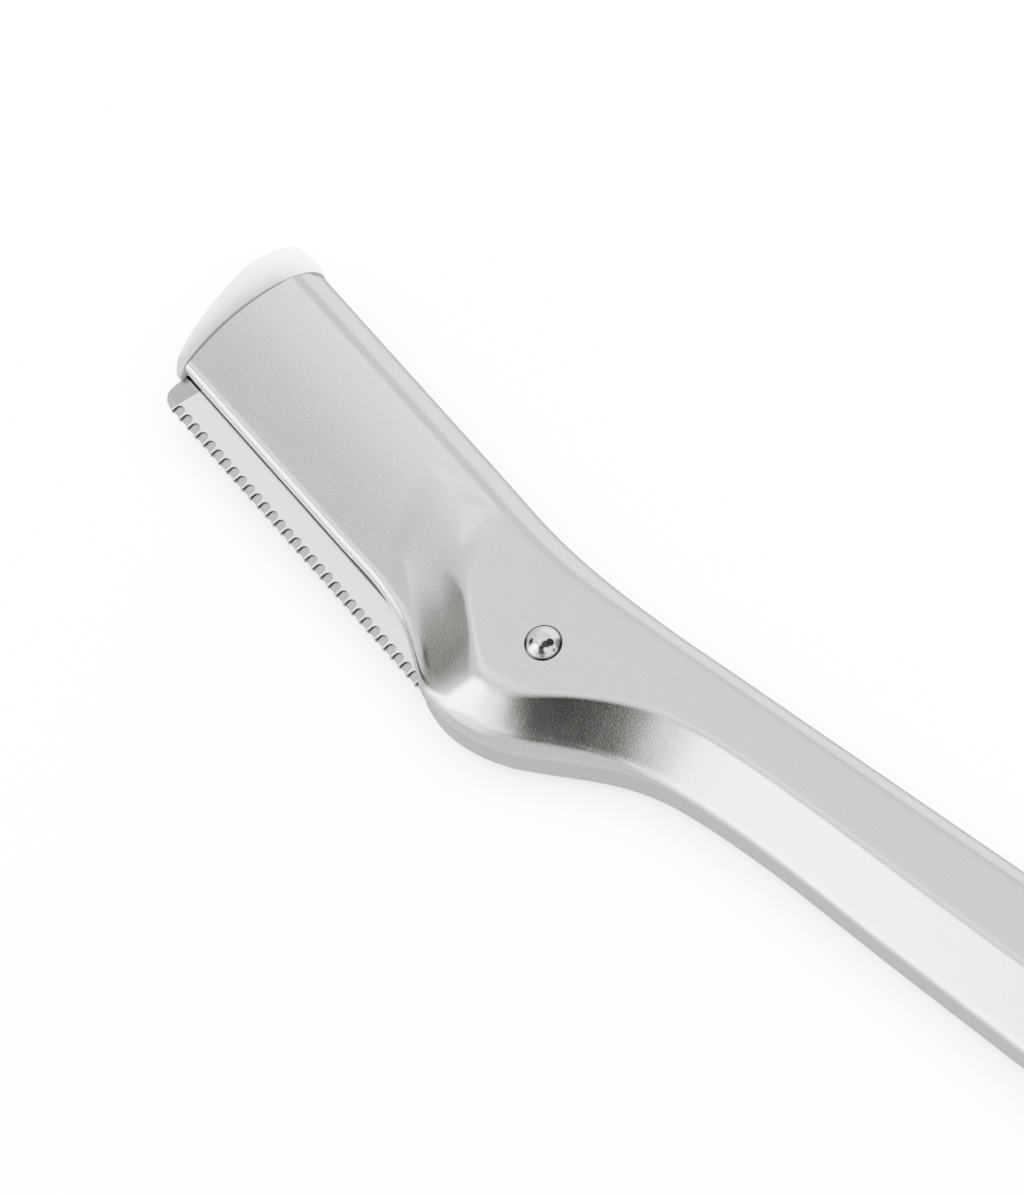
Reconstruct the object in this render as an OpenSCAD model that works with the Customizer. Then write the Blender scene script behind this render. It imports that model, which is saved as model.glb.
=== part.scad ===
// Eyebrow razor with a two-shell metal body and a blade unit that swings on one rivet.
// The part lies on its back shell: +X runs along the handle to the tail, +Y to the spine, +Z out of the front.
// Sections are drawn about the rivet's axis, in the plane between the shells, and moved at the end.

/* [Body] */
// Thickness over both shells, at the pivot and along the handle
body_t = 8.4; // [7.8:0.1:9.4]
// Thickness of the shells' metal
sheet_t = 0.6; // [0.4:0.05:0.65]
// From the pivot to the tail end of the handle
handle_len = 107; // [90:1:125]
// Width of the handle where it leaves the neck
handle_w = 11; // [10.4:0.1:11.6]
// Width of the handle at its widest, near the tail
tail_w = 14.4; // [12.5:0.1:15.5]
// From the pivot to where the handle's straight sides start
neck_x = 22; // [20.5:0.5:25]
// Length of the rounded end of the handle
tail_round = 16; // [12:0.5:24]
// The handle's centre line lies this far from the pivot, towards the spine
handle_y = 2.6; // [2.2:0.1:3]
// From the pivot to the middle of the face that the razor rests on
rest_x = 42; // [30:1:55]

/* [Head] */
// Angle between the cutting edge and the handle
head_angle = 11.4; // [9:0.2:14]
// Radius of the head's open end about the pivot
head_len = 40.95; // [36:0.5:46]
// How far the open end falls back from that radius at the spine
end_fall = 1.5; // [0.4:0.1:2]
// From the line of the cutting edge to the spine
spine_v = 16.6; // [16.2:0.1:17.2]
// From the line of the cutting edge to the pivot
pivot_v = 9.5; // [9.3:0.1:9.9]
// How far the cutting edge stands out of the lips
exposure = 2.8; // [2.5:0.1:3.1]
// Gap between the two lips, where the blade comes out
slit_t = 1.0; // [0.9:0.05:1.3]
// Radius of the rolled lips
lip_r = 0.7; // [0.66:0.02:0.8]

/* [Neck and sides] */
// Depth of the finger lobe below the pivot
lobe_d = 9.42; // [9.1:0.02:9.9]
// Height of the upright side wall round the lobe and handle, over both shells
side_t = 3.5; // [2.8:0.1:4.2]
// Radius between the side wall and the bevel
side_r = 0.75; // [0.7:0.05:1]
// Half the width of the rounded crease between the bevel and the face
crease_r = 0.45; // [0.2:0.05:0.6]
// Width of the rounded spine on the head
spine_head = 2.5; // [2:0.1:3]
// Width of the rounded spine on the handle
spine_handle = 1.9; // [1.5:0.1:2.4]
// Height of the rounded spine, on each shell
spine_h = 3.4; // [2.6:0.1:3.7]

/* [Blade and guards] */
// Thickness of the blade
blade_t = 0.25; // [0.2:0.01:0.28]
// Thickness of each guard plate
guard_t = 0.2; // [0.15:0.01:0.22]
// Height of the blade strip above its edge
blade_h = 6; // [5.4:0.1:6.1]
// Where the cutting edge starts, along the head from the pivot
heel_u = 4.8; // [4.6:0.1:5.5]
// How far the blade's outer end stays back from the head's open end
blade_back = 0.45; // [0.3:0.05:0.9]
// Radius of the blade's outer corner
corner_r = 1.3; // [0.8:0.1:1.8]
// Width of the ground bevel of the cutting edge
grind_w = 0.6; // [0.4:0.05:0.8]
// Distance from one guard slot to the next
slot_pitch = 1.06; // [0.9:0.02:1.3]
// Width of a guard slot
slot_w = 0.82; // [0.5:0.02:0.86]
// Depth of a guard slot above the cutting edge
slot_d = 0.82; // [0.6:0.02:1.1]
// How far the guard's bars stand past the cutting edge
bar_over = 0.1; // [0.05:0.01:0.2]
// Length of blade left bare at its outer end
bare_end = 1.5; // [1:0.1:2.5]
// Diameter of the pins that hold the blade
blade_pin_d = 1; // [0.8:0.05:1.2]

/* [Blade holder] */
// Thickness of the holder's plate
holder_t = 1.7; // [1.5:0.05:1.9]
// From the line of the cutting edge to the lower edge of the holder's plate
holder_v = 3.8; // [3.7:0.05:4]
// Top of the holder's plate at the tab, from the line of the cutting edge
holder_top = 6.2; // [6.1:0.05:6.3]
// Radius of the holder's round plate about the pivot
disc_r = 6.4; // [6.2:0.05:6.6]
// Diameter of the holder's hub
hub_d = 6.8; // [6:0.1:7]
// Length of the thumb tab beyond the head, at its fullest
tab_len = 4.66; // [3:0.02:5]
// Gap between the tab and the head's open end
tab_gap = 0.15; // [0.1:0.05:0.3]
// How far the blade unit swings into the body
swing = 13; // [12.6:0.2:13.4]

/* [Pivot] */
// Diameter of the rivet's shank
rivet_d = 2; // [1.6:0.1:2.2]
// Diameter of the rivet's polished head
dome_d = 3.05; // [2.8:0.05:3.6]
// Height of the rivet's head
dome_h = 0.8; // [0.5:0.05:1]
// Outer diameter of the bush that the holder turns on
bush_d = 3.2; // [2.8:0.1:3.6]
// Radial play of a turning fit
play = 0.05; // [0.02:0.01:0.08]
// Clearance round a part that is set in place
gap = 0.1; // [0.08:0.01:0.15]
// Diameter of the stop pin and of the spring's pin
pin_d = 1.2; // [1:0.05:1.4]
// Radius on which the stop pin stands, about the pivot
stop_r = 4.9; // [4.8:0.05:5]
// Thickness of the detent spring
leaf_t = 0.35; // [0.25:0.05:0.4]
// Diameter of the studs that tie the two shells together
stud_d = 3; // [2:0.1:3.4]

/* [Hidden] */
$fn = 48;
half_t = body_t / 2;
inner_z = half_t - sheet_t;
lip_z = slit_t / 2 + 2 * lip_r;
blade_end = head_len - blade_back;
overrun = 1;
satin = "#cfcfcd";
bright = "#b9bbbd";
white = "#f4f4f2";
nylon = "#d8d6d0";

// Smooth curve through points whose x grows, read as y at x
function span(p, x, i = 0) = i >= len(p) - 2 || x <= p[i + 1][0] ? i : span(p, x, i + 1);
function chord(p, i) = (p[i + 1][1] - p[i][1]) / (p[i + 1][0] - p[i][0]);
function tangent(p, i) =
    i == 0 ? chord(p, 0) :
    i == len(p) - 1 ? chord(p, i - 1) :
    (chord(p, i) * (p[i][0] - p[i - 1][0]) + chord(p, i - 1) * (p[i + 1][0] - p[i][0]))
        / (p[i + 1][0] - p[i - 1][0]);
function curve(p, x) =
    let (i = span(p, x), h = p[i + 1][0] - p[i][0], t = (x - p[i][0]) / h)
    let (m = tangent(p, i) * h, n = tangent(p, i + 1) * h)
    (2 * t ^ 3 - 3 * t ^ 2 + 1) * p[i][1] + (t ^ 3 - 2 * t ^ 2 + t) * m
        + (3 * t ^ 2 - 2 * t ^ 3) * p[i + 1][1] + (t ^ 3 - t ^ 2) * n;
function mix(a, b, t) = a + (b - a) * t;
function clamp(t) = max(0, min(1, t));
function ease(t) = let (c = clamp(t)) c * c * (3 - 2 * c);

// Head coordinates: u from the pivot towards the open end, v from the cutting edge towards the spine
function head_pt(u, v) = [
    -u * cos(head_angle) + (v - pivot_v) * sin(head_angle),
    u * sin(head_angle) + (v - pivot_v) * cos(head_angle),
];
function end_u(v) =
    sqrt(head_len ^ 2 - (v - pivot_v) ^ 2)
        - end_fall * clamp((v - exposure) / (spine_v - exposure)) ^ 2;

// Outline of the body: lips and lobe below, spine above, both as y at x
lobe_shares = [
    [-1.529, -0.425], [-1.231, -0.541], [-0.945, -0.722], [-0.669, -0.921],
    [-0.431, -0.998], [-0.068, -1], [0.268, -0.914], [0.58, -0.765],
    [0.89, -0.603], [1.218, -0.458], [1.572, -0.363], [1.937, -0.324],
];
crease_shares = [
    [-4.41, 0.45], [-2.31, 0.45], [-1.366, 0.455], [-1.02, 0.452], [-0.747, 0.36],
    [-0.552, 0.315], [-0.423, 0.282], [-0.23, 0.268], [0, 0.275], [0.292, 0.318],
    [0.62, 0.378], [0.9, 0.413], [1.24, 0.435], [1.576, 0.443], [3.15, 0.446], [14.7, 0.446],
];
lip_shares = [1.05, 0.9, 0.75, 0.6, 0.48];
blend_shares = [1.1, 0.9, 0.7, 0.5, 0.36, 0.2];
wide_x = handle_len - tail_round;
function straight_half(x) =
    mix(handle_w, tail_w, (x - neck_x) / (wide_x - neck_x)) / 2;
function tail_share(x, p) = (1 - clamp((x - wide_x) / tail_round) ^ p) ^ (1 / p);
handle_marks = [for (s = [0, 0.25, 0.5, 0.75, 1, 1.3]) mix(neck_x, wide_x, s)];
lower_pts = concat(
    [for (s = lip_shares) head_pt(s * head_len, exposure)],
    [for (p = lobe_shares) p * lobe_d],
    [for (x = handle_marks) [x, handle_y - straight_half(x)]]
);
spine_pts = concat(
    [for (s = blend_shares) head_pt(s * head_len, spine_v)],
    [for (s = [0.35, 0.55, 0.8]) [s * neck_x, handle_y + straight_half(s * neck_x)]],
    [for (x = handle_marks) [x, handle_y + straight_half(x)]]
);
function lower_y(x) = mix(handle_y, curve(lower_pts, x), tail_share(x, 2.4));
function spine_y(x) = mix(handle_y, curve(spine_pts, x), tail_share(x, 2.4));

// A station runs across the body from the lips or lobe to the spine
head_lean = (spine_v - exposure) * sin(head_angle);
end_lip = end_u(exposure);
end_spine = end_u(spine_v);
start_x = head_pt(end_lip, exposure)[0];
lean_from = -1.2 * lobe_d;
lean_to = 1.4 * lobe_d;
function near_end(x) = clamp(1 - (x - start_x) / (head_len / 4)) ^ 2;
function lean(x) =
    mix(head_lean, 0, ease((x - lean_from) / (lean_to - lean_from)))
        + (end_lip - end_spine) * cos(head_angle) * near_end(x);
end_bow = end_u((exposure + spine_v) / 2) - (end_lip + end_spine) / 2;
function station(x) =
    let (xu = x + lean(x), low = [x, lower_y(x)], top = [xu, spine_y(xu)])
    [low, top - low, end_bow * near_end(x)];
function on_station(s, share) =
    s[0] + s[1] * share + 4 * s[2] * share * (1 - share) * [-cos(head_angle), sin(head_angle)];

// How much of the head's open lip, its thin wedge and its plateau there is at x
slit_stop = -0.7 * lobe_d;
slit_closed = -0.5 * lobe_d;
ramp_from = -1.72 * lobe_d;
ramp_to = -1.01 * lobe_d;
function lip_part(x) = 1 - ease((x - slit_stop) / (slit_closed - slit_stop));
function plateau_part(x) = clamp((x - ramp_from) / (ramp_to - ramp_from)) ^ 2;
function spine_in(x) = mix(spine_head, spine_handle, ease((x / lobe_d + 0.8) / 1.6));

// Outer profile of one shell across a station, as [distance from the lower edge, height]
side_turns = [0, 0, 0, 34, 68];
side_shares = [0, 0.5, 1, 1, 1];
function side_pt(i) = [
    side_r * (1 - cos(side_turns[i])),
    side_t / 2 * side_shares[i] + side_r * sin(side_turns[i]),
];
function lip_pt(i) = [
    lip_r * (1 - sin(45 * i)),
    lip_z - lip_r - lip_r * cos(45 * i),
];
spine_turns = [22, 44, 66, 90];
function profile(x, w) =
    let (k = lip_part(x), n = plateau_part(x), b = curve(crease_shares, x / lobe_d) * w)
    let (a = min(spine_in(x), w / 3), tall = tail_share(x, 3.4))
    let (top = half_t, foot = mix(side_pt(4), lip_pt(4), k))
    let (wedge = mix(foot[1], top, (b - foot[0]) / (w - a - foot[0])))
    let (bz = mix(wedge, top, n), c = min(crease_r, w / 12))
    let (rise = (bz - foot[1]) / (b - foot[0]), fall = (top - bz) / (w - a - b))
    [for (p = concat(
        [for (i = [0:4]) mix(side_pt(i), lip_pt(i), k)],
        [[mix(foot[0], b, 0.5), mix(foot[1], bz, 0.5)]],
        [[b - c, bz - c * rise]],
        [[b, bz - c * (rise - fall) / 4]],
        [[b + c, bz + c * fall]],
        [[mix(b, w - a, 0.5), mix(bz, top, 0.5)]],
        [[w - a, top]],
        [for (t = spine_turns) [w - a + a * sin(t), top - spine_h * (1 - cos(t))]],
        [[w, 0]]
    )) [p[0], p[1] * tall]];

// Inner profile: each point moves in by the sheet's thickness, square to the outer profile
function unit(d) = d / norm(d);
function turned_in(d) = [d[1], -d[0]];
function inner(p) = [
    for (i = [0:len(p) - 1])
    let (d = unit(p[min(i + 1, len(p) - 1)] - p[max(i - 1, 0)]))
    let (q = p[i] + sheet_t * turned_in(d))
    i == len(p) - 1 ? [q[0], 0] : q
];

// Places of the stations: wide apart where the body runs straight, close at the neck and the tail
neck_from = -1.68 * lobe_d;
neck_to = 2.1 * lobe_d;
stations = concat(
    [for (i = [0:7]) mix(start_x, neck_from, i / 8)],
    [for (i = [0:43]) mix(neck_from, neck_to, i / 44)],
    [for (i = [0:6]) mix(neck_to, wide_x, i / 7)],
    [for (i = [0:9]) wide_x + tail_round * sin(i * 9.4)],
    [handle_len - tail_round / 900]
);
hollow_end = len(stations) - 5;

// One shell: outer skin, inner skin up to the closed tail, the rims between them and the two ends
module shell_half() {
    n = len(stations);
    h = hollow_end;
    rows = [for (x = stations) let (s = station(x), w = norm(s[1])) [s, w, profile(x, w)]];
    m = len(rows[0][2]);
    function placed(s, w, p) = [for (q = p) concat(on_station(s, q[0] / w), q[1])];
    outer_pts = [for (r = rows) each placed(r[0], r[1], r[2])];
    inner_pts = [for (i = [0:h]) each placed(rows[i][0], rows[i][1], inner(rows[i][2]))];
    function seam_mid(i) = concat(on_station(rows[i][0], 0.5), 0);
    o = function (i, j) i * m + j;
    c = function (i, j) n * m + i * m + j;
    hollow_mid = n * m + (h + 1) * m;
    tail_mid = hollow_mid + 1;
    faces = concat(
        [for (i = [0:n - 2], j = [0:m - 2]) [o(i, j), o(i, j + 1), o(i + 1, j + 1), o(i + 1, j)]],
        [for (i = [0:h - 1], j = [0:m - 2]) [c(i, j), c(i + 1, j), c(i + 1, j + 1), c(i, j + 1)]],
        [for (i = [0:h - 1]) [o(i, 0), o(i + 1, 0), c(i + 1, 0), c(i, 0)]],
        [for (i = [0:h - 1]) [o(i, m - 1), c(i, m - 1), c(i + 1, m - 1), o(i + 1, m - 1)]],
        [for (j = [0:m - 2]) [o(0, j), c(0, j), c(0, j + 1), o(0, j + 1)]],
        [for (j = [0:m - 2]) [hollow_mid, c(h, j + 1), c(h, j)]],
        [[o(h + 1, m - 1), o(h, m - 1), c(h, m - 1), hollow_mid, c(h, 0), o(h, 0), o(h + 1, 0)]],
        [for (i = [h + 1:n - 3]) [o(i, 0), o(i + 1, 0), o(i + 1, m - 1), o(i, m - 1)]],
        [[tail_mid, o(n - 1, m - 1), o(n - 2, m - 1), o(n - 2, 0), o(n - 1, 0)]],
        [for (j = [0:m - 2]) [tail_mid, o(n - 1, j), o(n - 1, j + 1)]]
    );
    polyhedron(concat(outer_pts, inner_pts, [seam_mid(h), seam_mid(n - 1)]), faces, convexity = 6);
}

// Moves the finished pieces so that the back lies on the floor under the middle of the grip
rest_y = (mix(lower_y(rest_x), spine_y(rest_x), 0.446) + spine_y(rest_x) - spine_handle) / 2;
module place() {
    translate([-rest_x, -rest_y, half_t]) children();
}
module hole(d, low, high) {
    translate([0, 0, low]) cylinder(d = d, h = high - low);
}
module pin(at, d, low, high) {
    translate([at[0], at[1], low]) cylinder(d = d, h = high - low);
}
module ring(outer, bore, low, high) {
    difference() {
        hole(outer, low, high);
        hole(bore, low - overrun, high + overrun);
    }
}

// Shells
module front_shell() {
    color(satin) place() difference() {
        shell_half();
        hole(rivet_d + 2 * play, inner_z - overrun, half_t + overrun);
    }
}

// The rivet's tail fills a countersink and stops just short of the rest face
sink_d = dome_d + 2 * gap;
sink_h = sheet_t - gap;
module sink(grow) {
    rotate_extrude() polygon([
        [0, -half_t - overrun],
        [sink_d / 2 + grow, -half_t - overrun],
        [sink_d / 2 + grow, -half_t],
        [rivet_d / 2 + grow, sink_h - half_t],
        [rivet_d / 2 + grow, overrun - inner_z],
        [0, overrun - inner_z],
    ]);
}
module back_shell() {
    color(satin) place() difference() {
        mirror([0, 0, 1]) shell_half();
        sink(play);
    }
}

// Studs tie the shells together inside the handle, under the flat face
stud_shares = [0.17, 0.5, 0.83];
module stud(share) {
    color(bright) place()
        pin([mix(neck_x, wide_x, share), rest_y], stud_d, -inner_z, inner_z);
}
module stud_neck() {
    stud(stud_shares[0]);
}
module stud_middle() {
    stud(stud_shares[1]);
}
module stud_tail() {
    stud(stud_shares[2]);
}

// Pivot: domed rivet, bush, one flat washer and one wavy spring washer
dome_ball = (dome_d ^ 2 / 4 + dome_h ^ 2) / (2 * dome_h);
dome_half_turn = asin(dome_d / 2 / dome_ball);
module pivot_rivet() {
    color(bright) place() rotate_extrude($fn = 96) polygon(concat(
        [[0, gap - half_t], [sink_d / 2 - gap, gap - half_t]],
        [[rivet_d / 2, sink_h - half_t], [rivet_d / 2, half_t], [dome_d / 2, half_t]],
        [for (i = [1:11])
            let (t = dome_half_turn * (1 - i / 12))
            [dome_ball * sin(t), half_t + dome_h - dome_ball * (1 - cos(t))]],
        [[0, half_t + dome_h]]
    ));
}
module pivot_bush() {
    color(bright) place() ring(bush_d, rivet_d + 2 * play, -inner_z, inner_z);
}
washer_t = 0.22;
hub_z = inner_z - washer_t - 2 * gap;
washer_d = hub_d - 2 * gap;
washer_bore = bush_d + 2 * gap;
module front_washer() {
    color(nylon) place() ring(washer_d, washer_bore, inner_z - washer_t, inner_z);
}
wave_steps = 48;
wave_count = 3;
wave_t = washer_t - gap;
module spring_washer() {
    function wave(i) = (gap - play) / 2 * sin(360 * wave_count * i / wave_steps);
    base = -inner_z + (washer_t + gap) / 2;
    radii = [washer_bore / 2, washer_d / 2, washer_d / 2, washer_bore / 2];
    sides = [-1, -1, 1, 1];
    pts = [
        for (i = [0:wave_steps - 1], j = [0:3])
        let (t = 360 * i / wave_steps)
        [radii[j] * cos(t), radii[j] * sin(t), base + wave(i) + sides[j] * wave_t / 2]
    ];
    at = function (i, j) (i % wave_steps) * 4 + j % 4;
    color(bright) place() polyhedron(pts, [
        for (i = [0:wave_steps - 1], j = [0:3])
        each [[at(i, j), at(i, j + 1), at(i + 1, j + 1)], [at(i, j), at(i + 1, j + 1), at(i + 1, j)]]
    ]);
}

// The stop pin stands in a curved slot of the holder's round plate
stop_turn = 60;
stop_at = stop_r * [cos(stop_turn), sin(stop_turn)];
module stop_pin() {
    color(bright) place() pin(stop_at, pin_d, -inner_z, inner_z);
}

// Leaf spring behind the round plate: a nose just clear of the notches, a leaf, an eye on its own
// pin, and a tail that bears on the spine wall
nose_r = 0.45;
nose_turn = -10;
leaf_reach = 4.2;
leaf_tail = 3.6;
leaf_h = 2.4;
eye_d = pin_d + 2 * gap + 2 * leaf_t;
leaf_r = disc_r + play + nose_r;
eye_at = [leaf_r + leaf_t / 2 + eye_d / 2 - leaf_t, leaf_reach + eye_d / 2 - leaf_t];
function at_nose(p) = [
    p[0] * cos(nose_turn) - p[1] * sin(nose_turn),
    p[0] * sin(nose_turn) + p[1] * cos(nose_turn),
];
spring_at = at_nose(eye_at);
module spring_pin() {
    color(bright) place() pin(spring_at, pin_d, -inner_z, inner_z);
}
module detent_spring() {
    color(bright) place() difference() {
        rotate(nose_turn) union() {
            translate([leaf_r, -nose_r - leaf_t, -leaf_h / 2])
                cube([leaf_t, leaf_reach + nose_r + leaf_t, leaf_h]);
            translate([eye_at[0] + eye_d / 2 - leaf_t, eye_at[1], -leaf_h / 2])
                cube([leaf_t, leaf_tail, leaf_h]);
            pin([leaf_r, 0], 2 * nose_r, -leaf_h / 2, leaf_h / 2);
            pin(eye_at, eye_d, -leaf_h / 2, leaf_h / 2);
        }
        pin(spring_at, pin_d + 2 * gap, -inner_z, inner_z);
        rotate(nose_turn)
            translate([leaf_r + leaf_t, -nose_r - gap, -inner_z])
                cube([nose_r, 2 * (nose_r + gap), 2 * inner_z]);
    }
}

// Things that lie along the head are drawn in head coordinates
module on_head() {
    multmatrix([
        [-cos(head_angle), sin(head_angle), 0, -pivot_v * sin(head_angle)],
        [sin(head_angle), cos(head_angle), 0, -pivot_v * cos(head_angle)],
        [0, 0, 1, 0],
        [0, 0, 0, 1],
    ]) children();
}
module slab(low, high) {
    translate([0, 0, low]) linear_extrude(height = high - low) children();
}

// Blade: a strip with a rounded outer corner and a cut-back heel
blade_pin_shares = [0.14, 0.52, 0.9];
blade_pin_v = holder_v + blade_pin_d / 2 + 0.7 * blade_pin_d;
heel_back = 0.4;
guard_back_lean = 0.4;
module blade_pin_spot(share, d) {
    translate([mix(heel_u, blade_end, share), blade_pin_v]) circle(d = d);
}
module blade_pin_holes(d) {
    for (s = blade_pin_shares) blade_pin_spot(s, d);
}
function corner_turn(i) = 90 - 15 * i;
module blade_outline(low) {
    polygon(concat(
        [[heel_u, low], [blade_end - corner_r, low]],
        [for (i = [0:6])
            [blade_end - corner_r + corner_r * cos(corner_turn(i)),
             low + corner_r - corner_r * sin(corner_turn(i))]],
        [[blade_end, exposure], [blade_end - heel_back, exposure + heel_back]],
        [[blade_end - heel_back, blade_h], [heel_u - heel_back, blade_h]],
        [[heel_u - heel_back, blade_h / 4]]
    ));
}
module blade() {
    color(bright) place() difference() {
        on_head() slab(-blade_t / 2, blade_t / 2) difference() {
            blade_outline(0);
            blade_pin_holes(blade_pin_d + 2 * play);
        }
        for (side = [0, 1]) mirror([0, 0, side]) on_head()
            translate([0, 0, blade_t / 2])
                rotate([0, 90, 0])
                    linear_extrude(height = blade_end + overrun)
                        polygon([
                            [-overrun, -overrun],
                            [-overrun, grind_w],
                            [0, grind_w],
                            [blade_t / 2 - blade_t / 20, 0],
                            [blade_t / 2 - blade_t / 20, -overrun],
                        ]);
    }
}

// Guard plates: a row of round-bottomed slots lets the edge through, and the bars stand just past it
guard_end = blade_end - bare_end;
slot_total = floor((guard_end - heel_u) / slot_pitch);
module guard_outline() {
    difference() {
        polygon([
            [heel_u, -bar_over],
            [guard_end, -bar_over],
            [guard_end - guard_back_lean, exposure],
            [guard_end - guard_back_lean, blade_h],
            [heel_u - heel_back, blade_h],
            [heel_u - heel_back, blade_h / 4],
        ]);
        for (i = [0:slot_total - 1])
            translate([guard_end - (i + 1) * slot_pitch + slot_w / 2, 0]) union() {
                translate([0, slot_d - slot_w / 2]) circle(d = slot_w, $fn = 24);
                translate([-slot_w / 2, -overrun])
                    square([slot_w, overrun + slot_d - slot_w / 2]);
            }
        blade_pin_holes(blade_pin_d + 2 * play);
    }
}
module guard_front() {
    color(bright) place() on_head()
        slab(blade_t / 2, blade_t / 2 + guard_t) guard_outline();
}
module guard_back() {
    color(bright) place() on_head()
        slab(-blade_t / 2 - guard_t, -blade_t / 2) guard_outline();
}
module blade_pin(share) {
    color(bright) place() on_head()
        slab(-holder_t / 2, holder_t / 2) blade_pin_spot(share, blade_pin_d);
}
module blade_pin_heel() {
    blade_pin(blade_pin_shares[0]);
}
module blade_pin_middle() {
    blade_pin(blade_pin_shares[1]);
}
module blade_pin_end() {
    blade_pin(blade_pin_shares[2]);
}

// Thumb tab: its root matches the head's open end, and it rounds off to a plump outline
tab_low = 0.8 * exposure;
tab_rings = 5;
tab_v_shares = [0, 0.05, 0.13, 0.24, 0.36, 0.48, 0.6, 0.71, 0.81, 0.89, 0.945, 0.98, 1];
tab_out_shares = [0.16, 0.3, 0.4, 0.505, 0.615, 0.72, 0.84, 0.94, 0.985, 1, 0.99, 0.97, 0.8];
tab_root_shares = [0.22, 0.43, 0.555, 0.68, 0.78, 0.865, 0.94, 0.983, 1, 0.96, 0.86, 0.72, 0.5];
tab_steps = len(tab_v_shares) - 1;
module tab() {
    top = half_t - tab_gap;
    function tab_v(j) = mix(tab_low, spine_v, tab_v_shares[j]);
    function root(j) = end_u(tab_v(j)) + tab_gap;
    function out(j) = root(j) + tab_len * tab_out_shares[j];
    function tall(j) = top * tab_root_shares[j];
    across = tab_steps + 1;
    top_pts = [
        for (k = [0:tab_rings - 1], j = [0:tab_steps])
        let (t = 90 * k / tab_rings)
        [mix(root(j), out(j), sin(t)), tab_v(j), tall(j) * cos(t)]
    ];
    rim = [for (j = [0:tab_steps]) [out(j), tab_v(j), 0]];
    low_pts = [for (p = top_pts) [p[0], p[1], -p[2]]];
    n = len(top_pts);
    r = n;
    l = n + across;
    a = function (k, j) k == tab_rings ? r + j : k * across + j;
    b = function (k, j) k == tab_rings ? r + j : l + k * across + j;
    skin = [
        for (k = [0:tab_rings - 1], j = [0:tab_steps - 1])
        each [
            [a(k, j), a(k, j + 1), a(k + 1, j)], [a(k + 1, j), a(k, j + 1), a(k + 1, j + 1)],
            [b(k, j), b(k + 1, j), b(k, j + 1)], [b(k + 1, j), b(k + 1, j + 1), b(k, j + 1)]
        ]
    ];
    root_face = [for (j = [0:tab_steps - 1])
        each [[a(0, j), b(0, j), a(0, j + 1)], [b(0, j), b(0, j + 1), a(0, j + 1)]]];
    function side(j, flip) = [
        for (k = [0:tab_rings - 1])
        let (f = k == tab_rings - 1
            ? [[a(k, j), b(k, j), a(k + 1, j)]]
            : [[a(k, j), b(k, j), a(k + 1, j)], [a(k + 1, j), b(k, j), b(k + 1, j)]])
        each [for (t = f) flip ? [t[0], t[2], t[1]] : t]
    ];
    polyhedron(concat(top_pts, rim, low_pts),
        concat(skin, root_face, side(0, true), side(tab_steps, false)), convexity = 4);
}

// Holder: hub and round plate at the pivot, arm along the head, tab beyond its end
arm_u = 0.3 * head_len;
arm_v = pivot_v + 0.42 * disc_r;
arm_end = head_len + tab_gap + tab_len / 4;
stack_t = blade_t + 2 * guard_t + 2 * gap / 4;
notch_d = 2 * nose_r + 2 * gap;
module arm_outline() {
    translate([0, pivot_v]) circle(r = disc_r, $fn = 96);
    polygon([
        [0, holder_v],
        [arm_end, holder_v],
        [arm_end, holder_top],
        [arm_u, arm_v],
        [0, pivot_v + disc_r - gap],
    ]);
}
module stop_slot() {
    for (t = [0, swing])
        rotate(stop_turn + t)
            translate([stop_r, 0, -holder_t])
                cylinder(d = pin_d + 2 * gap, h = 2 * holder_t);
    rotate([0, 0, stop_turn])
        rotate_extrude(angle = swing, $fn = 96)
            translate([stop_r - pin_d / 2 - gap, -holder_t])
                square([pin_d + 2 * gap, 2 * holder_t]);
}
module blade_holder() {
    color(white) place() difference() {
        union() {
            on_head() slab(-holder_t / 2, holder_t / 2) arm_outline();
            hole(hub_d, -hub_z, hub_z);
            on_head() tab();
        }
        hole(bush_d + 2 * play, -half_t, half_t);
        stop_slot();
        for (t = [0, swing])
            rotate(nose_turn + t)
                translate([disc_r + notch_d / 4, 0, -holder_t])
                    cylinder(d = notch_d, h = 2 * holder_t);
        on_head() {
            slab(-stack_t / 2, stack_t / 2)
                polygon([
                    [heel_u - heel_back - gap, -overrun],
                    [blade_end + gap, -overrun],
                    [blade_end + gap, blade_h + gap],
                    [heel_u - heel_back - gap, blade_h + gap],
                ]);
            slab(-holder_t, holder_t) blade_pin_holes(blade_pin_d + 2 * play);
        }
    }
}

front_shell();
back_shell();
stud_neck();
stud_middle();
stud_tail();
pivot_rivet();
pivot_bush();
front_washer();
spring_washer();
stop_pin();
spring_pin();
detent_spring();
blade_holder();
blade();
guard_front();
guard_back();
blade_pin_heel();
blade_pin_middle();
blade_pin_end();
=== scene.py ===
"""Looks of the eyebrow razor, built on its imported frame.

Laid out as an add-on: settings, one operator for each group of pieces, one for the stage, and a panel.
All lengths are in metres. Outlines are worked out about the rivet's axis, in the plane between the
shells, and moved to the frame's axes by place().
"""

import math

import bmesh
import bpy
from bpy.props import FloatProperty, FloatVectorProperty, IntProperty, PointerProperty
from mathutils import Matrix, Vector
from mathutils.kdtree import KDTree


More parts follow.
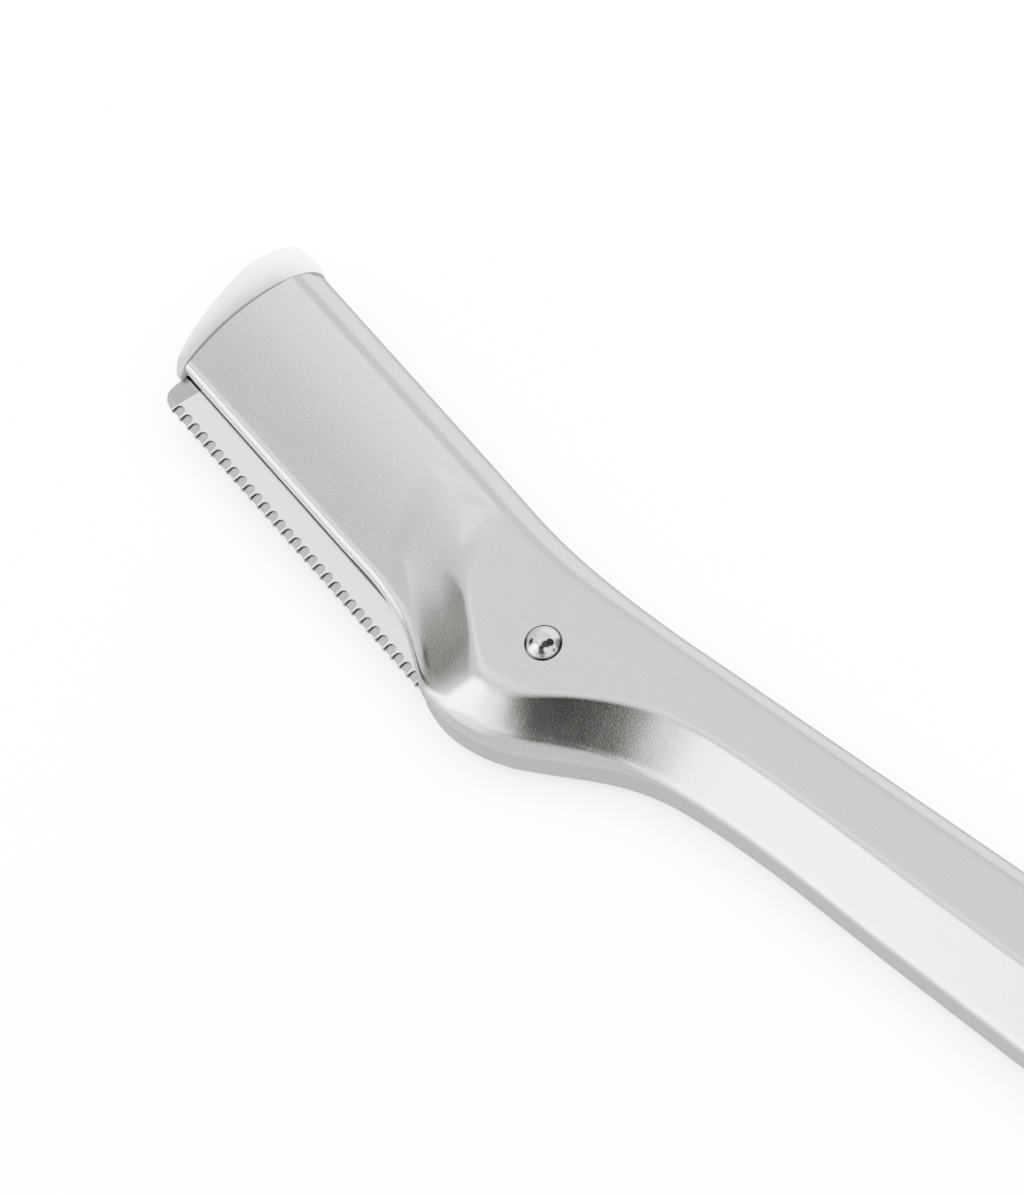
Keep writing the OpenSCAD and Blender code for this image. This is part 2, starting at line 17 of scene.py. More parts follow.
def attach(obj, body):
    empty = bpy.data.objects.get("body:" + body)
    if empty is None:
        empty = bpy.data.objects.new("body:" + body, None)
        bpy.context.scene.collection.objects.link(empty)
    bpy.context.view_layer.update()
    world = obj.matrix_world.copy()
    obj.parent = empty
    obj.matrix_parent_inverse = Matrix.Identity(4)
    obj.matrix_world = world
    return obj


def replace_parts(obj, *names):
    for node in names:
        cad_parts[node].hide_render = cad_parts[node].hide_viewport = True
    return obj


bl_info = {
    "name": "Eyebrow Razor",
    "version": (1, 0, 0),
    "blender": (4, 5, 0),
    "location": "View3D > Sidebar > Razor",
    "description": "Builds the visible shells, blade, guards, holder and rivet of an eyebrow razor",
    "category": "Object",
}

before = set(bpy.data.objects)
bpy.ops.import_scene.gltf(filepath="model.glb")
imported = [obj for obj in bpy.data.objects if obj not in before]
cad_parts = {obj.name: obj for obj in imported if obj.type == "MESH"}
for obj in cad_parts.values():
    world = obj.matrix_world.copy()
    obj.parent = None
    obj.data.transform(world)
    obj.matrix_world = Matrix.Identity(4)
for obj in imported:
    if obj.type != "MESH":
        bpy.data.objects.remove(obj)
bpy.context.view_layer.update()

# Control points as shares, (x, y) of the lobe's depth and (x, inset) of lobe depth and body width
LOBE = (
    (-1.529, -0.425), (-1.231, -0.541), (-0.945, -0.722), (-0.669, -0.921),
    (-0.431, -0.998), (-0.068, -1.0), (0.268, -0.914), (0.58, -0.765),
    (0.89, -0.603), (1.218, -0.458), (1.572, -0.363), (1.937, -0.324),
)
CREASE = (
    (-4.41, 0.45), (-2.31, 0.45), (-1.02, 0.452), (1.24, 0.435), (1.576, 0.443), (3.15, 0.446), (14.7, 0.446),
)
# Edge of the plateau round the pivot, seen from above, and how softly it turns down, in lobe depths
FOLD = (
    (-1.95, 0.956), (-1.5, 0.551), (-1.2, 0.281), (-0.977, 0.08), (-0.743, -0.13), (-0.584, -0.272),
    (-0.467, -0.38), (-0.36, -0.476), (-0.3, -0.525), (-0.25, -0.552), (-0.18, -0.556), (-0.042, -0.532),
    (0.074, -0.496),
    (0.212, -0.43), (0.372, -0.329), (0.531, -0.223), (0.69, -0.127), (0.849, -0.042), (1.008, 0.031),
    (1.168, 0.09), (1.327, 0.132), (1.486, 0.158),
)
FOLD_SOFT = (
    (-1.95, 0.6), (-1.5, 0.55), (-1.2, 0.37), (-0.977, 0.12), (-0.85, 0.045), (-0.7, 0.034),
    (-0.6, 0.034), (-0.48, 0.05), (-0.35, 0.08), (-0.15, 0.12), (0.12, 0.08), (0.3, 0.05),
    (0.5, 0.035), (1.0, 0.04), (1.486, 0.045),
)
FOLD_STEPS = 480
# Where the control points of the lips and of the head's spine lie, in shares of the head's reach
LIP_SHARES = (1.05, 0.9, 0.75, 0.6, 0.48)
BLEND_SHARES = (1.1, 0.9, 0.7, 0.5, 0.36, 0.2)
NECK_SHARES = (0.35, 0.55, 0.8)
HANDLE_SHARES = (0, 0.25, 0.5, 0.75, 1, 1.3)
# The thumb tab from the edge's side to the spine: share of the way, reach outwards, height at its root
TAB = (
    (0.0, 0.16, 0.22), (0.05, 0.3, 0.43), (0.13, 0.4, 0.555), (0.24, 0.505, 0.68), (0.36, 0.615, 0.78),
    (0.48, 0.72, 0.865), (0.6, 0.84, 0.94), (0.71, 0.94, 0.983), (0.81, 0.985, 1.0), (0.89, 1.0, 0.96),
    (0.945, 0.985, 0.86), (0.98, 0.945, 0.72), (1.0, 0.74, 0.5),
)
TAB_OUT = [(share, out) for share, out, tall in TAB]
TAB_ROOT = [(share, tall) for share, out, tall in TAB]
TAIL_ROUND = 2.4  # Powers of the tail's rounding, seen from above and from the side
TAIL_EDGE = 3.4
TAIL_LAST = math.radians(87.4)  # Where the rounding stops short of its point
BEVEL_FOOT = math.radians(68)  # How far the side wall has turned where the bevel starts
SHARP = math.radians(50)
PLATE_BACK = 0.0004  # How far the blade's and guards' ends step back inside the body

# The studio's sky by direction: its own brightness, then patches as (azimuth, elevation), outer and
# inner half angle, and brightness, all angles in degrees, with one upright strip between them
SKY = 2.0
SKY_WIDE = (
    ((0, -90), 80, 30, 1.03), ((-84, 19), 60, 30, 1.3), ((101, 3), 50, 15, 3.0), ((119, 45), 24, 8, 1.6),
    ((-165, 5), 60, 5, 1.2), ((-163, 19.5), 18.5, 5, 0.05), ((50, 6), 34, 16, 0.3), ((-177, 64), 13, 2, 3.2),
    ((-114, 42), 18, 6, 4.0), ((-110, 18), 18, 4, 3.5),
)
SKY_STRIP = (-130, (14, 7), (-15, 45, 50, 60), 11.0)
SKY_SMALL = (
    ((-133, 54), 9, 4, 9.5), ((-152, 57), 10, 2, 1.2), ((-72, 66), 24, 8, 0.06), ((-66, 45), 24, 10, 0.12),
    ((-62, 26), 16, 6, 0.4), ((12, 28), 12, 6, 0.3), ((160, -20), 26, 14, 0.2), ((10, 79), 24, 18, 0.1),
    ((55, 56), 24, 17, 0.06), ((-30, 56), 14, 6, 2.5),
)
# Lamps: direction, distance, size, power and the only pieces that they light
LAMPS = {
    "beside": ((-0.5, 0.86, 0.06), 1.2, (0.6, 0.14), 200.0, ()),
    "ground": ((0.1, 0.1, 1.0), 1.3, (2.2, 2.2), 500.0, ("floor",)),
    "fill": ((-0.37, 0.21, 0.9), 1.2, (0.5, 0.5), 20.0, ("guard_front_skin", "guard_back_skin")),
}
LAMP_AIM = (-0.04, 0.0, 0.0)
FLOOR_HALF = 3.0
FLOOR_GAP = 0.00002  # Below the rest face

# The camera: how far it tilts from straight down, the way it leans, its turn and its distance
CAMERA_TILT = math.radians(25.0)
CAMERA_LEAN = (0.87102, -0.49124, 0.0)
CAMERA_SIDE = (-0.49124, -0.87102, 0.0)
CAMERA_TURN = (0.37586, 0.92667)
CAMERA_DISTANCE = 0.95
SENSOR = 36.0
IMAGE_HEIGHT = 1195
PIXELS_PER_METRE = 12400
RIVET_PIXELS = (30.3, 43.0)  # From the image's middle to the rivet
RIVET_EYE = 0.0047


def length(name, default, description):
    return FloatProperty(name=name, description=description, default=default, unit="LENGTH", precision=5)


class RazorBody(bpy.types.PropertyGroup):
    """Sizes of the two shells"""

    thickness: length("Thickness", 0.0084, "Over both shells")
    sheet: length("Sheet", 0.0006, "Thickness of the shells' metal")
    handle: length("Handle", 0.107, "From the pivot to the tail end")
    handle_width: length("Handle width", 0.011, "Where it leaves the neck")
    tail_width: length("Tail width", 0.0144, "At the widest place, near the tail")
    neck: length("Neck", 0.022, "From the pivot to the straight sides")
    tail_round: length("Tail rounding", 0.016, "Length of the rounded end")
    handle_y: length("Handle offset", 0.0026, "Of the handle's centre line from the pivot")
    rest_x: length("Grip", 0.042, "From the pivot to the middle of the rest face")
    rest_y: length("Grip offset", 0.00432277, "Of the rest face's middle from the pivot")
    lobe: length("Lobe", 0.009415, "Depth of the finger lobe below the pivot")
    side: length("Side wall", 0.0035, "Height of the upright side wall, over both shells")
    side_radius: length("Side radius", 0.00075, "Between the side wall and the bevel")
    lobe_radius: length("Lobe radius", 0.0026, "The side radius of the front shell under the lobe")
    lobe_wall: length("Lobe wall", 0.00045, "Height of what is left upright there")
    crease: length("Crease", 0.0004, "Half the width of the crease between bevel and face")
    ramp: FloatProperty(
        name="Ramp", description="Slope of the ramp from the head to the plateau", default=0.47
    )
    merge: length("Merge", 0.0008, "How softly the ramp runs into the head's face")
    spine_head: length("Head spine", 0.0025, "Width of the rounded spine on the head")
    spine_handle: length("Handle spine", 0.0019, "Width of the rounded spine on the handle")
    spine_height: length("Spine height", 0.0034, "Of the rounded spine, on each shell")
    crown: length("Crown", 0.00012, "How far the head's faces bulge")


class RazorHead(bpy.types.PropertyGroup):
    """Sizes of the head, the blade and its holder"""

    angle: FloatProperty(
        name="Head angle", description="Between the cutting edge and the handle",
        default=math.radians(11.4), subtype="ANGLE",
    )
    reach: length("Reach", 0.04095, "Radius of the head's open end about the pivot")
    fall: length("Fall", 0.0015, "How far the open end falls back at the spine")
    spine: length("Spine", 0.0166, "From the cutting edge to the spine")
    pivot: length("Pivot", 0.0095, "From the cutting edge to the pivot")
    exposure: length("Exposure", 0.0028, "How far the edge stands out of the lips")
    slit: length("Slit", 0.001, "Gap between the two lips")
    lip: length("Lip", 0.0007, "Radius of the rolled lips")
    blade: length("Blade", 0.00025, "Thickness of the blade")
    guard: length("Guard", 0.0002, "Thickness of each guard plate")
    blade_height: length("Blade height", 0.006, "Of the strip above its edge")
    heel: length("Heel", 0.0048, "Where the cutting edge starts")
    blade_end: length("Blade end", 0.0405, "Where the blade ends")
    corner: length("Corner", 0.0013, "Radius of the blade's outer corner")
    grind: length("Grind", 0.0006, "Width of the ground bevel")
    pitch: length("Slot pitch", 0.00106, "From one guard slot to the next")
    slot: length("Slot", 0.00082, "Width of a guard slot")
    slot_depth: length("Slot depth", 0.00082, "Of a guard slot above the edge")
    bar: length("Bar overhang", 0.0001, "How far the bars stand past the edge")
    bare: length("Bare end", 0.0015, "Length of blade left bare at its outer end")
    holder: length("Holder", 0.0017, "Thickness of the holder's plate")
    disc: length("Round plate", 0.0064, "Radius of the holder's round plate")
    tab: length("Thumb tab", 0.004645, "Length of the thumb tab beyond the head")
    tab_bulge: length("Tab bulge", 0.0003, "Of the thumb tab's side towards the spine")
    tab_gap: length("Tab gap", 0.00015, "Between the tab and the head's open end")
    dome: length("Rivet head", 0.00305, "Diameter of the rivet's polished head")
    dome_height: length("Rivet height", 0.0008, "Of the rivet's head")
    tail: length("Rivet tail", 0.003, "Diameter of the rivet's flush end")
    shank: length("Rivet shank", 0.002, "Diameter of the rivet inside")
    flat: length("Tail depth", 0.0001, "How far the flush end lies in, so that nothing rubs")
    sunk: length("Countersink", 0.0005, "Depth of the countersink")
    play: length("Play", 0.00005, "Hairline gap round the rivet")


class RazorLooks(bpy.types.PropertyGroup):
    """Colours and fineness"""

    satin: FloatVectorProperty(
        name="Satin steel", description="Colour of the body",
        default=(0.70, 0.683, 0.645), subtype="COLOR",
    )
    white: FloatVectorProperty(
        name="White plastic", description="Colour of the thumb tab",
        default=(0.8, 0.8, 0.797), subtype="COLOR",
    )
    step: length("Station step", 0.00035, "Between the shells' stations")
    rings: IntProperty(
        name="Rings", description="Points in each quarter of a rounding", default=10, min=4
    )


def mix(a, b, t):
    return a + (b - a) * t


def ease(t):
    t = max(0.0, min(1.0, t))
    return t * t * (3 - 2 * t)


def curve(points, x):
    """The y at x on a smooth curve through the points, whose x grows"""

    def chord(j):
        return (points[j + 1][1] - points[j][1]) / (points[j + 1][0] - points[j][0])

    def tangent(j):
        if j == 0:
            return chord(0)
        if j == len(points) - 1:
            return chord(j - 1)
        before = points[j][0] - points[j - 1][0]
        after = points[j + 1][0] - points[j][0]
        return (chord(j) * before + chord(j - 1) * after) / (before + after)

    i = 0
    while i < len(points) - 2 and x > points[i + 1][0]:
        i += 1
    h = points[i + 1][0] - points[i][0]
    t = (x - points[i][0]) / h
    return (
        (2 * t**3 - 3 * t**2 + 1) * points[i][1]
        + (t**3 - 2 * t**2 + t) * tangent(i) * h
        + (3 * t**2 - 2 * t**3) * points[i + 1][1]
        + (t**3 - t**2) * tangent(i + 1) * h
    )


class Form:
    """The body's outline and section rule"""

    def __init__(self, scene):
        self.b = b = scene.razor_body
        self.h = h = scene.razor_head
        self.looks = scene.razor_looks
        self.cos = math.cos(h.angle)
        self.sin = math.sin(h.angle)
        self.half = b.thickness / 2
        self.lip_z = h.slit / 2 + 2 * h.lip
        self.wide = b.handle - b.tail_round
        marks = [mix(b.neck, self.wide, s) for s in HANDLE_SHARES]
        self.low_points = (
            [self.head(s * h.reach, h.exposure) for s in LIP_SHARES]
            + [(x * b.lobe, y * b.lobe) for x, y in LOBE]
            + [(x, b.handle_y - self.straight(x)) for x in marks]
        )
        self.top_points = (
            [self.head(s * h.reach, h.spine) for s in BLEND_SHARES]
            + [(s * b.neck, b.handle_y + self.straight(s * b.neck)) for s in NECK_SHARES]
            + [(x, b.handle_y + self.straight(x)) for x in marks]
        )
        self.end_lip = self.end(h.exposure)
        self.end_spine = self.end(h.spine)
        self.start = self.head(self.end_lip, h.exposure)[0]
        self.fold = self.fold_line()
        self.bow = self.end((h.exposure + h.spine) / 2) - (self.end_lip + self.end_spine) / 2

    def head(self, u, v):
        v = v - self.h.pivot
        return (-u * self.cos + v * self.sin, u * self.sin + v * self.cos)

    def end(self, v):
        h = self.h
        share = max(0.0, min(1.0, (v - h.exposure) / (h.spine - h.exposure)))
        return math.sqrt(h.reach**2 - (v - h.pivot) ** 2) - h.fall * share**2

    def straight(self, x):
        b = self.b
        return mix(b.handle_width, b.tail_width, (x - b.neck) / (self.wide - b.neck)) / 2

    def tail(self, x, power):
        share = max(0.0, min(1.0, (x - self.wide) / self.b.tail_round))
        return (1 - share**power) ** (1 / power)

    def low(self, x):
        return mix(self.b.handle_y, curve(self.low_points, x), self.tail(x, TAIL_ROUND))

    def top(self, x):
        return mix(self.b.handle_y, curve(self.top_points, x), self.tail(x, TAIL_ROUND))

    def near_end(self, x):
        return max(0.0, min(1.0, 1 - (x - self.start) / (self.h.reach / 4))) ** 2

    def lean(self, x):
        h, lobe = self.h, self.b.lobe
        return (
            mix((h.spine - h.exposure) * self.sin, 0, ease((x / lobe + 1.2) / 2.6))
            + (self.end_lip - self.end_spine) * self.cos * self.near_end(x)
        )

    def station(self, x):
        xu = x + self.lean(x)
        low = Vector((x, self.low(x)))
        return low, Vector((xu, self.top(xu))) - low, self.bow * self.near_end(x)

    def on_station(self, station, share):
        low, across, bow = station
        out = 4 * bow * share * (1 - share)
        return low + across * share + out * Vector((-self.cos, self.sin))

    def fold_line(self):
        """The plateau's edge as a search tree, with each point's outward direction and softness"""
        lobe, count = self.b.lobe, FOLD_STEPS
        shares = [mix(FOLD[0][0], FOLD[-1][0], i / count) for i in range(count + 1)]
        line = [Vector((x, curve(FOLD, x), 0)) * lobe for x in shares]
        tree = KDTree(count + 1)
        marks = []
        for i, p in enumerate(line):
            along = (line[min(count, i + 1)] - line[max(0, i - 1)]).normalized()
            marks.append((p, Vector((along[1], -along[0], 0)), curve(FOLD_SOFT, shares[i]) * lobe))
            tree.insert(p, i)
        tree.balance()
        return tree, marks

    def beyond_fold(self, p):
        """How far p lies outside the plateau's edge, and the edge's softness there"""
        tree, marks = self.fold
        p = Vector((p[0], p[1], 0))
        mark = marks[tree.find(p)[1]]
        return (p - mark[0]).dot(mark[1]), mark[2]

    def lip_part(self, x):
        return 1 - ease((x / self.b.lobe + 0.7) / 0.2)

    def spine_in(self, x):
        return mix(self.b.spine_head, self.b.spine_handle, ease((x / self.b.lobe + 0.8) / 1.6))

    def inset(self, x, station):
        """The crease's share of a station: from its plan round the neck, from a table elsewhere"""
        lobe = self.b.lobe
        table = curve(CREASE, x / lobe)
        round_neck = ease((x / lobe + 1.35) / 0.3) * (1 - ease((x / lobe - 1.1) / 0.3))
        if round_neck == 0:
            return table
        low, high = 0.02, 0.8
        for _ in range(40):
            share = (low + high) / 2
            if self.beyond_fold(self.on_station(station, share))[0] > 0:
                low = share
            else:
                high = share
        return mix(table, low, round_neck)

    def edge(self, x, front):
        """The section's lower edge, from the seam or the slit round to the foot of the bevel"""
        b, h, n = self.b, self.h, self.looks.rings
        k = self.lip_part(x)
        foot_part = 1 - ease((x / b.lobe + 0.95) / 0.65)
        soft = 0.0
        if front:
            soft = ease((x / b.lobe + 1.0) / 0.45) * (1 - ease((x / b.lobe - 0.5) / 1.3))
        radius = mix(b.side_radius, b.lobe_radius, soft)
        wall = mix(b.side / 2, b.lobe_wall, soft)
        pts = []
        for i in range(2 * n + 1):
            s = i / (2 * n)
            turn = math.pi * s
            lip = (h.lip * (1 - math.sin(turn)), self.lip_z - h.lip - h.lip * math.cos(turn))
            t = BEVEL_FOOT * max(0.0, s * 2 - 1)
            side = (radius * (1 - math.cos(t)), wall * min(1.0, s * 2) + radius * math.sin(t))
            part = mix(k, foot_part, s)
            pts.append((mix(side[0], lip[0], part), mix(side[1], lip[1], part)))
        return pts

    def profile(self, x, station, front):
        """Outer section of one shell as [distance from the lower edge, height], lower edge first"""
        b, n, top = self.b, self.looks.rings, self.half
        w = station[1].length
        inset = self.inset(x, station) * w
        a = min(self.spine_in(x), w / 3)
        tall = self.tail(x, TAIL_EDGE)
        pts = self.edge(x, front)
        foot = pts[-1]
        on_lobe = ease((x / b.lobe + 0.8) / 0.42)
        on_handle = ease((x / b.lobe - 1.0) / 0.35)
        near_spine = w - a - foot[0]

        def outside(far):
            """How far the section's point lies outside the plateau, and the edge's softness"""
            if on_handle == 1:
                return inset - far, min(b.crease, w / 12)
            out, soft = self.beyond_fold(self.on_station(station, far / w))
            return mix(out, inset - far, on_handle), mix(soft, b.crease, on_handle)

        slope = mix(b.ramp, (top - foot[1]) / outside(foot[0])[0], on_lobe)

        def height(far):
            out, soft = outside(far)
            drop = max(0.0, out) if abs(out) > soft else (out + soft) ** 2 / (4 * soft)
            ramp = top - slope * drop
            share = (far - foot[0]) / near_spine
            wedge = mix(foot[1], top, share)
            high = max(ramp, wedge)
            reach = min(b.merge * (1 - on_lobe), 2 * (top - high), 4 * b.merge * share)
            if reach <= 0:
                return high
            return high + max(0.0, reach - abs(ramp - wedge)) ** 2 / (4 * reach)

        c = min(outside(inset)[1] * 1.2, inset / 3, (w - a - inset) / 2)
        count = 18
        fars = [mix(foot[0], inset - c, i / n) for i in range(1, n)]
        fars += [inset + c * (2 * i / count - 1) for i in range(count + 1)]
        fars += [mix(inset + c, w - a, i / count) for i in range(1, count + 1)]
        # the head's face is slightly crowned
        crown = 4 * b.crown * (1 - ease((x / b.lobe + 1.72) / 0.71))
        for far in fars:
            share = (far - foot[0]) / near_spine
            pts.append((far, min(top, height(far) + crown * share * (1 - share))))
        for i in range(1, 2 * n + 1):
            t = math.radians(90) * i / (2 * n)
            pts.append((w - a + a * math.sin(t), top - b.spine_height * (1 - math.cos(t))))
        for s in (0.5, 1.0):
            pts.append((w, (top - b.spine_height) * (1 - s)))
        return [(p[0], p[1] * tall) for p in pts]

    def inner(self, pts):
        """The section set in by the sheet's thickness, square to the outer one"""
        out = []
        for i, p in enumerate(pts):
            a = pts[max(0, i - 1)]
            b = pts[min(len(pts) - 1, i + 1)]
            d = Vector((b[0] - a[0], b[1] - a[1])).normalized()
            out.append((p[0] + self.b.sheet * d[1], p[1] - self.b.sheet * d[0]))
        out[-1] = (out[-1][0], 0.0)
        return out


def place(b):
    """From the pivot's axes to the frame's"""
    return Matrix.Translation((-b.rest_x, -b.rest_y, b.thickness / 2))


def finish_mesh(name, bm, matrix, body, material, smooth=35):
    bmesh.ops.recalc_face_normals(bm, faces=bm.faces)
    mesh = bpy.data.meshes.new(name)
    bm.to_mesh(mesh)
    bm.free()
    mesh.transform(matrix)
    obj = bpy.data.objects.new(name, mesh)
    bpy.context.scene.collection.objects.link(obj)
    mesh.materials.append(material)
    for p in mesh.polygons:
        p.use_smooth = True
    if smooth is not None:
        mesh.set_sharp_from_angle(angle=math.radians(smooth))
    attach(obj, body)
    return obj


class Nodes:
    """Builds a node tree"""

    def __init__(self, name):
        self.material = bpy.data.materials.new(name)
        self.material.use_nodes = True
        self.tree = self.material.node_tree
        self.shader = self.tree.nodes["Principled BSDF"]

    @classmethod
    def of_tree(cls, tree):
        made = cls.__new__(cls)
        made.tree = tree
        return made

    def spot(self, direction, where, outer, inner, inside, around):
        """The value around, changed to inside within a soft cone about an azimuth and elevation"""
        turn, rise = (math.radians(v) for v in where)
        axis = (math.cos(rise) * math.cos(turn), math.cos(rise) * math.sin(turn), math.sin(rise))
        low, high = (math.cos(math.radians(v)) for v in (outer, inner))
        return self.toward(around, inside, self.ramp(self.along(direction, axis), low, high))

    def toward(self, around, inside, share):
        return share * (inside - around) + around

    def ramp(self, value, low, high):
        part = self.node("ShaderNodeMapRange", {"interpolation_type": "SMOOTHSTEP"}, Value=value)
        part.inputs["From Min"].default_value = low
        part.inputs["From Max"].default_value = high
        return Sock(self, part.outputs["Result"])

    def along(self, direction, axis):
        dot = self.node("ShaderNodeVectorMath", {"operation": "DOT_PRODUCT"})
        self.plug(dot.inputs[0], direction)
        dot.inputs[1].default_value = Vector(axis).normalized()
        return Sock(self, dot.outputs["Value"])

    def strip(self, direction, azimuth, width, heights, inside, around):
        """An upright strip at an azimuth, with half widths and elevations where it starts and fades"""
        turn = math.radians(azimuth)
        front = (math.cos(turn), math.sin(turn), 0)
        side = self.along(direction, (-math.sin(turn), math.cos(turn), 0))
        outer, inner = (math.sin(math.radians(w)) for w in width)
        heights = [math.sin(math.radians(e)) for e in heights]
        up = self.along(direction, (0, 0, 1))
        share = self.ramp(side, -outer, -inner) * self.ramp(0 - side, -outer, -inner)
        share = share * self.ramp(up, heights[0], heights[1])
        share = share * self.ramp(0 - up, -heights[3], -heights[2])
        return self.toward(around, inside, share * self.ramp(self.along(direction, front), 0.0, 0.1))

    def node(self, kind, settings=None, **inputs):
        n = self.tree.nodes.new(kind)
        for key, value in (settings or {}).items():
            setattr(n, key, value)
        for key, value in inputs.items():
            self.plug(n.inputs[key.replace("_", " ")], value)
        return n

    def plug(self, socket, value):
        if isinstance(value, Sock):
            self.tree.links.new(value.socket, socket)
        elif isinstance(value, bpy.types.NodeSocket):
            self.tree.links.new(value, socket)
        else:
            socket.default_value = value

    def set(self, **inputs):
        for key, value in inputs.items():
            self.plug(self.shader.inputs[key.replace("_", " ")], value)

    def noise(self, scale, detail=3.0, roughness=0.5, vector=None):
        n = self.node("ShaderNodeTexNoise", Scale=scale, Detail=detail, Roughness=roughness)
        if vector is not None:
            self.plug(n.inputs["Vector"], vector)
        return Sock(self, n.outputs["Fac"])

    def here(self):
        return self.node("ShaderNodeTexCoord").outputs["Object"]

    def stretched(self, vector, scale, turn=0.0):
        n = self.node("ShaderNodeMapping", Vector=vector)
        n.inputs["Scale"].default_value = scale
        n.inputs["Rotation"].default_value = (0, 0, turn)
        return n.outputs["Vector"]

    def bump(self, height, distance, strength):
        return self.node("ShaderNodeBump", Height=height, Distance=distance, Strength=strength).outputs[0]

    def blend(self, factor, a, b):
        n = self.tree.nodes.new("ShaderNodeMix")
        n.data_type = "RGBA"
        self.plug(n.inputs[0], factor)
        self.plug(n.inputs[6], (*a, 1.0) if isinstance(a, tuple) else a)
        self.plug(n.inputs[7], (*b, 1.0) if isinstance(b, tuple) else b)
        return n.outputs[2]


class Sock:
    """A value socket with arithmetic"""

    def __init__(self, nodes, socket):
        self.nodes = nodes
        self.socket = socket

    def math(self, operation, a, b):
        n = self.nodes.tree.nodes.new("ShaderNodeMath")
        n.operation = operation
        self.nodes.plug(n.inputs[0], a)
        self.nodes.plug(n.inputs[1], b)
        return Sock(self.nodes, n.outputs[0])

    def __add__(self, other):
        return self.math("ADD", self, other)

    def __sub__(self, other):
        return self.math("SUBTRACT", self, other)

    def __mul__(self, other):
        return self.math("MULTIPLY", self, other)

    def __radd__(self, other):
        return self.math("ADD", other, self)

    def __rsub__(self, other):
        return self.math("SUBTRACT", other, self)

    def __rmul__(self, other):
        return self.math("MULTIPLY", other, self)


def satin_steel(scene):
    n = Nodes("satin steel")
    here = n.here()
    colour = tuple(scene.razor_looks.satin)
    speckle = n.noise(7500.0, 1.5, 0.5, here)
    glints = n.ramp(n.noise(9500.0, 1.0, 0.5, here), 0.58, 0.72)
    cloud = n.noise(300.0, 3.0, 0.55, here)
    dark = tuple(c * 0.86 for c in colour)
    light = tuple(c * 1.04 for c in colour)
    n.set(
        Base_Color=n.blend(n.ramp(speckle, 0.3, 0.7) * 0.8 + cloud * 0.2, dark, light),
        Metallic=1.0,
        Roughness=cloud * 0.04 + 0.12,
        Normal=n.bump(speckle * 0.75 + glints * 0.25, 0.00002, 0.24),
    )
    return n.material


def plain_metal(name, colour, roughness, scale, stretch=(1, 1, 1), turn=0.0, metallic=1.0, form=None):
    """Rolled or turned metal; with the form given, painted shade turns the metal nearly black from just
    outside the lips inwards, where the lips shade it
    """
    n = Nodes(name)
    here = n.here()
    grain = n.noise(scale, 3.0, 0.6, n.stretched(here, stretch, turn))
    base = n.blend(grain, tuple(c * 0.93 for c in colour), colour)
    if form is not None:
        pivot = place(form.b).translation
        axis = Vector((form.sin, form.cos, 0))
        above_edge = n.along(here, axis) + (form.h.pivot - pivot.dot(axis))
        # painted shade: nearly black from about 0.1 mm outside the lips inwards, where the metal lies in the
        # lips' shadow
        lip_shade = n.ramp(above_edge, form.h.exposure - 0.00016, form.h.exposure - 0.00006)
        base = n.blend(lip_shade, base, tuple(c * 0.04 for c in colour))
    n.set(
        Base_Color=base,
        Metallic=metallic,
        Roughness=grain * 0.12 + roughness,
        Normal=n.bump(grain, 0.000004, 0.4),
    )
    return n.material


def white_plastic(scene):
    n = Nodes("white plastic")
    here = n.here()
    grain = n.noise(4000.0, 3.0, 0.5, here)
    flow = n.noise(150.0, 2.0, 0.5, here)
    colour = tuple(scene.razor_looks.white)
    n.set(
        Base_Color=n.blend(flow, tuple(c * 0.975 for c in colour), colour),
        Roughness=grain * 0.08 + 0.28,
        IOR=1.48,
        Subsurface_Weight=0.08,
        Subsurface_Radius=(0.001, 0.001, 0.001),
        Subsurface_Scale=0.5,
        Normal=n.bump(grain, 0.000006, 0.3),
    )
    return n.material


def lathe(bm, pts, count=96):
    """A solid turned about the pivot from points [radius, height], the first and last on the axis"""
    rings = []
    for r, z in pts:
        if r == 0.0:
            rings.append([bm.verts.new((0, 0, z))] * count)
        else:
            turns = [2 * math.pi * i / count for i in range(count)]
            rings.append([bm.verts.new((r * math.cos(t), r * math.sin(t), z)) for t in turns])
    for a, b in zip(rings, rings[1:]):
        for i in range(count):
            k = (i + 1) % count
            face = []
            for v in (a[i], a[k], b[k], b[i]):
                if v not in face:
                    face.append(v)
            bm.faces.new(face)


